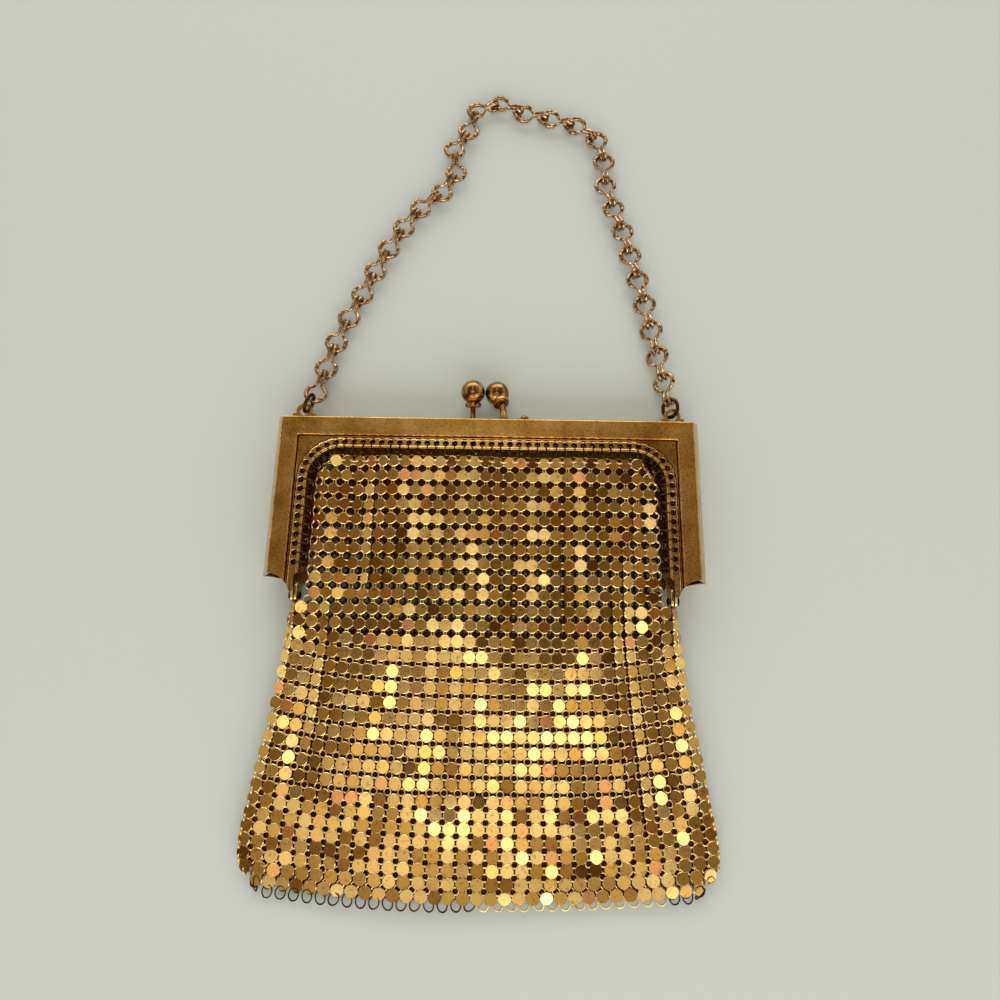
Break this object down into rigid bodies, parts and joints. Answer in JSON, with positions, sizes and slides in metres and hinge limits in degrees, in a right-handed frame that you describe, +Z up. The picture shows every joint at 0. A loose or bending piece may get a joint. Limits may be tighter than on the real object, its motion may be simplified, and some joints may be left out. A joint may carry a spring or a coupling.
{
  "type": "metal mesh purse",
  "caption": "Metal mesh purse with a stamped brass frame, kiss-lock clasp and link chain handle, lying flat on its back.",
  "frame": {"origin": "on the surface the purse lies on, under the middle of its bounding box", "axes": "+X across the frame to the right, +Y from the bag towards the top of the chain, +Z up out of the front of the purse"},
  "size_m": [0.112, 0.2252, 0.0084],
  "materials": {
    "frame_brass": "satin gilt brass, worn",
    "mesh_brass": "bright gilt brass discs on fine rings",
    "knob_brass": "polished, coppery where the gilt has worn",
    "chain_brass": "satin, lightly chased",
    "tarnished_brass": "dark tarnish"
  },
  "bodies": {
    "root": {"front_frame": "frame_brass", "back_frame": "frame_brass", "hinge_rivet_left": "tarnished_brass", "hinge_rivet_right": "tarnished_brass", "clasp_knob_left": "knob_brass", "clasp_knob_right": "knob_brass", "top_rivet": "knob_brass", "mesh_bag": "mesh_brass", "end_ring_left": "tarnished_brass", "end_ring_right": "tarnished_brass", "chain_link_01": "chain_brass", "chain_link_02": "chain_brass", "chain_link_03": "chain_brass", "chain_link_04": "chain_brass", "chain_link_05": "chain_brass", "chain_link_06": "chain_brass", "chain_link_07": "chain_brass", "chain_link_08": "chain_brass", "chain_link_09": "chain_brass", "chain_link_10": "chain_brass", "chain_link_11": "chain_brass", "chain_link_12": "chain_brass", "chain_link_13": "chain_brass", "chain_link_14": "chain_brass", "chain_link_15": "chain_brass", "chain_link_16": "chain_brass", "chain_link_17": "chain_brass", "chain_link_18": "chain_brass", "chain_link_19": "chain_brass", "chain_link_20": "chain_brass", "chain_link_21": "chain_brass", "chain_link_22": "chain_brass", "chain_link_23": "chain_brass", "chain_link_24": "chain_brass", "chain_link_25": "chain_brass", "chain_link_26": "chain_brass", "chain_link_27": "chain_brass", "chain_link_28": "chain_brass", "chain_link_29": "chain_brass"}
  },
  "joints": []
}
